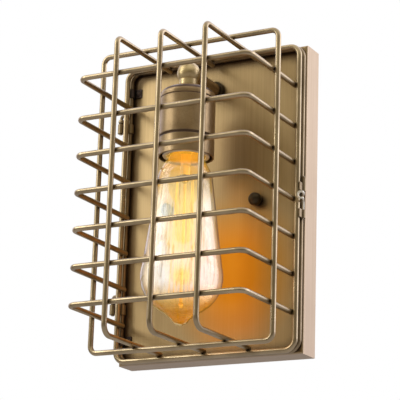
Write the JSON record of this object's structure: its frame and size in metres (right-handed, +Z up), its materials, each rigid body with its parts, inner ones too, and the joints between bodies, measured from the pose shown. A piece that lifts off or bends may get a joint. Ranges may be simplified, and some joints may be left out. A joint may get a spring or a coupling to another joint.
{
  "type": "cage wall light",
  "caption": "Wall light: folded metal pan, hanging socket with filament bulb, and a welded wire cage that swings open on a hinge and is held by a wire latch.",
  "frame": {"origin": "on the wall, at the centre of the mounting strap's back face, behind the middle of the pan", "axes": "+Z up, +Y into the wall, -Y out of the front of the cage, +X to the right as seen from the front"},
  "size_m": [0.1911, 0.127, 0.2738],
  "materials": {
    "pan": "satin antique brass plate, brushed upright",
    "wire": "satin antique brass plate",
    "turned_brass": "satin antique brass",
    "hook_wire": "bright brass plate",
    "zinc": "zinc plate",
    "ground_green": "green passivated",
    "porcelain": "glazed porcelain",
    "bright_brass": "bright",
    "black_glass": "vitrified insulator",
    "solder": "tinned",
    "lead_black": "matt insulation",
    "lead_white": "matt insulation",
    "amber_glass": "clear amber-tinted",
    "clear_glass": "clear",
    "filament": "glowing carbon-type strand",
    "support_wire": "plain"
  },
  "bodies": {
    "fixture": {"back_pan": "pan", "mounting_strap": "zinc", "strap_studs": "zinc", "stud_lock_nuts": "zinc", "ball_nuts": "turned_brass", "ground_screw": "ground_green", "fixed_ring": "wire", "ring_clips": "wire", "clip_rivets": "wire", "hinge_barrel_upper": "wire", "hinge_barrel_lower": "wire", "latch_knuckle_upper": "wire", "latch_knuckle_lower": "wire", "arm_tube": "turned_brass", "arm_collar": "turned_brass", "arm_washer": "zinc", "arm_nut": "zinc", "ball_elbow": "turned_brass", "elbow_nipple": "zinc", "nipple_nut": "zinc", "socket_cup": "turned_brass", "lampholder_body": "porcelain", "screw_shell": "bright_brass", "centre_contact": "bright_brass", "terminal_screws": "bright_brass", "lead_live": "lead_black", "lead_neutral": "lead_white", "bulb_cap": "bright_brass", "bulb_cap_insulator": "black_glass", "bulb_contact": "solder", "bulb_glass": "amber_glass", "bulb_stem": "clear_glass", "filament": "filament", "filament_supports": "support_wire"},
    "cage": {"cage_rear_ring": "wire", "cage_mid_ring": "wire", "cage_hoop_left": "wire", "cage_hoop_centre": "wire", "cage_hoop_right": "wire", "cage_bar_1": "wire", "cage_bar_2": "wire", "cage_bar_3": "wire", "cage_bar_4": "wire", "cage_bar_5": "wire", "cage_bar_6": "wire", "cage_bar_7": "wire", "hinge_pin_upper": "wire", "hinge_pin_lower": "wire"},
    "latch_hook": {"latch_hook": "hook_wire"}
  },
  "joints": [
    {"name": "cage_swing", "type": "hinge", "parent": "fixture", "child": "cage", "pos_m": [-0.09375, -0.0296, 0], "axis": [0, 0, -1], "range_deg": [0, 110]},
    {"name": "hook_turn", "type": "hinge", "parent": "fixture", "child": "latch_hook", "pos_m": [0.0899, -0.0286, -0.0039], "axis": [0, 0, 1], "range_deg": [-22.9, 95]}
  ]
}
